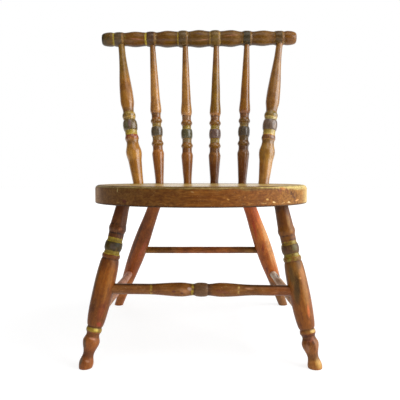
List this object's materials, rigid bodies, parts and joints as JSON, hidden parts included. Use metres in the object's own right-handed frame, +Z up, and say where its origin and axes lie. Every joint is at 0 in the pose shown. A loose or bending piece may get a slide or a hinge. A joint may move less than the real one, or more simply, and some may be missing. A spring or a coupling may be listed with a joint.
{
  "type": "worn painted child's spindle-back chair",
  "caption": "Small plank-seat chair with splayed turned legs, round stretchers, a back of turned spindles and a beaded turned crest rail, in a worn glossy banded finish.",
  "frame": {"origin": "on the floor, at the middle of the chair's footprint: midway between the ends of the crest rail, and midway between the seat's front edge and the back of the rear feet", "axes": "+Z up; the chair faces -Y; +X is to the right when the chair is seen from the front; left in the node names is -X"},
  "size_m": [0.3702, 0.3658, 0.5407],
  "materials": {
    "seat_paint": "glossy brown paint over wood, worn pale along the front edge, with scratches and dark scuffs",
    "leg_paint": "glossy orange-brown paint with yellow bands and a dark bead, worn at the foot",
    "rear_leg_paint": "glossy red-brown paint, scuffed",
    "stretcher_paint": "satin orange-brown paint, rubbed pale on top",
    "back_paint": "glossy orange-brown paint with yellow bands and dark beads, chipped",
    "rail_paint": "satin brown paint with worn yellow bands beside dark beads"
  },
  "bodies": {
    "root": {"seat": "seat_paint", "front_leg_left": "leg_paint", "front_leg_right": "leg_paint", "rear_leg_left": "rear_leg_paint", "rear_leg_right": "rear_leg_paint", "front_stretcher": "stretcher_paint", "rear_stretcher": "stretcher_paint", "side_stretcher_left": "stretcher_paint", "side_stretcher_right": "stretcher_paint", "back_post_left": "back_paint", "back_post_right": "back_paint", "spindle_1": "back_paint", "spindle_2": "back_paint", "spindle_3": "back_paint", "spindle_4": "back_paint", "crest_rail": "rail_paint"}
  },
  "joints": []
}
